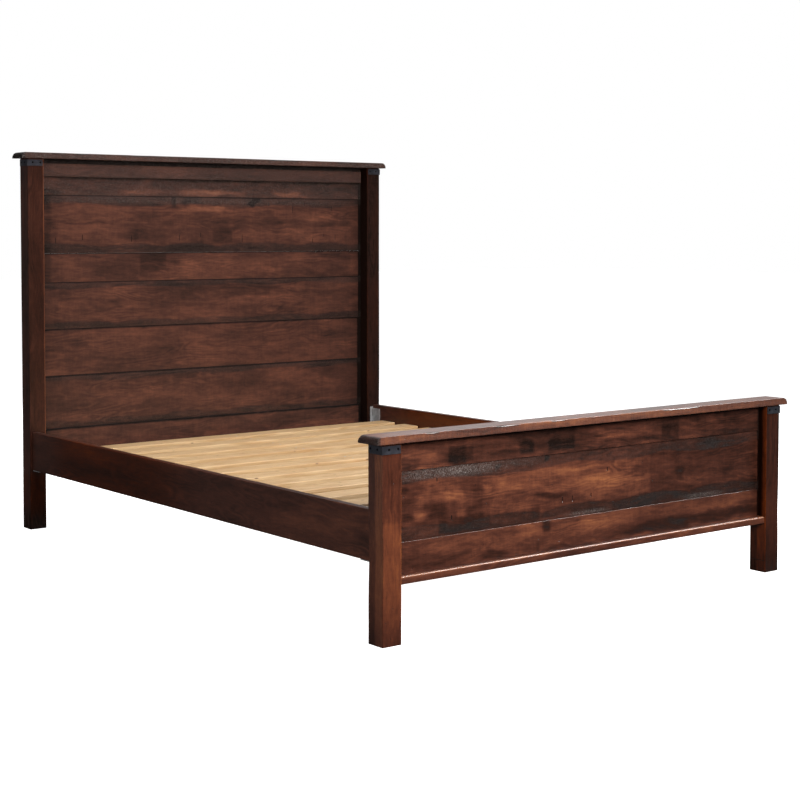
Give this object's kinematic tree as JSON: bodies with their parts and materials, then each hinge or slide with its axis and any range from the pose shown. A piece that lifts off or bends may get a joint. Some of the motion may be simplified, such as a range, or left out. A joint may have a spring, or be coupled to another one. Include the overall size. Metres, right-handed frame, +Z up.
{
  "type": "wooden bed frame",
  "caption": "Rustic wooden panel bed frame with plank headboard and footboard under thick caps, iron corner straps, hook-on side rails and a slatted deck on a centre beam.",
  "frame": {"origin": "on the floor, under the middle of the bed's plan", "axes": "+X across the bed towards the right-hand side seen from the foot, +Y from the foot to the head, +Z up"},
  "size_m": [1.663, 2.238, 1.391],
  "materials": {
    "post_maple": "satin lacquer over a reddish brown stain",
    "cap_maple": "satin lacquer over a dark brown stain, hand-scraped front edge",
    "panel_maple": "satin lacquer over a mottled brown stain on rough planks",
    "rail_maple": "satin lacquer over a dark espresso stain",
    "slat_pine": "unfinished, planed",
    "deck_pine": "unfinished, sawn",
    "black_iron": "matte black, hammered",
    "zinc_steel": "zinc plated",
    "leveller_nylon": "moulded"
  },
  "bodies": {
    "bed": {"head_post_right": "post_maple", "head_post_left": "post_maple", "foot_post_right": "post_maple", "foot_post_left": "post_maple", "head_cap": "cap_maple", "foot_cap": "cap_maple", "head_top_rail": "panel_maple", "foot_moulding": "panel_maple", "head_bottom_rail": "panel_maple", "foot_plank_lower": "panel_maple", "foot_plank_middle": "panel_maple", "foot_plank_top": "panel_maple", "head_strap_right": "black_iron", "head_strap_left": "black_iron", "foot_strap_right": "black_iron", "foot_strap_left": "black_iron", "side_rail_right": "rail_maple", "side_rail_left": "rail_maple", "cleat_right": "deck_pine", "cleat_left": "deck_pine", "centre_beam": "deck_pine", "beam_hanger_foot": "zinc_steel", "beam_hanger_head": "zinc_steel", "head_plank_1": "panel_maple", "head_plank_2": "panel_maple", "head_plank_3": "panel_maple", "head_plank_4": "panel_maple", "head_plank_5": "panel_maple", "head_plank_6": "panel_maple", "hook_plate_head_right": "zinc_steel", "post_plate_head_right": "zinc_steel", "hook_plate_head_left": "zinc_steel", "post_plate_head_left": "zinc_steel", "hook_plate_foot_right": "zinc_steel", "post_plate_foot_right": "zinc_steel", "hook_plate_foot_left": "zinc_steel", "post_plate_foot_left": "zinc_steel", "centre_leg_1": "deck_pine", "centre_leg_2": "deck_pine", "centre_leg_3": "deck_pine", "slat_01": "slat_pine", "slat_02": "slat_pine", "slat_03": "slat_pine", "slat_04": "slat_pine", "slat_05": "slat_pine", "slat_06": "slat_pine", "slat_07": "slat_pine", "slat_08": "slat_pine", "slat_09": "slat_pine", "slat_10": "slat_pine", "slat_11": "slat_pine", "slat_12": "slat_pine", "slat_13": "slat_pine"},
    "leveller_1": {"leveller_1": "leveller_nylon"},
    "leveller_2": {"leveller_2": "leveller_nylon"},
    "leveller_3": {"leveller_3": "leveller_nylon"}
  },
  "joints": [
    {"name": "leveller_1_travel", "type": "slide", "parent": "bed", "child": "leveller_1", "axis": [0, 0, -1], "range_m": [0, 0.015]},
    {"name": "leveller_2_travel", "type": "slide", "parent": "bed", "child": "leveller_2", "axis": [0, 0, -1], "range_m": [0, 0.015]},
    {"name": "leveller_3_travel", "type": "slide", "parent": "bed", "child": "leveller_3", "axis": [0, 0, -1], "range_m": [0, 0.015]}
  ]
}
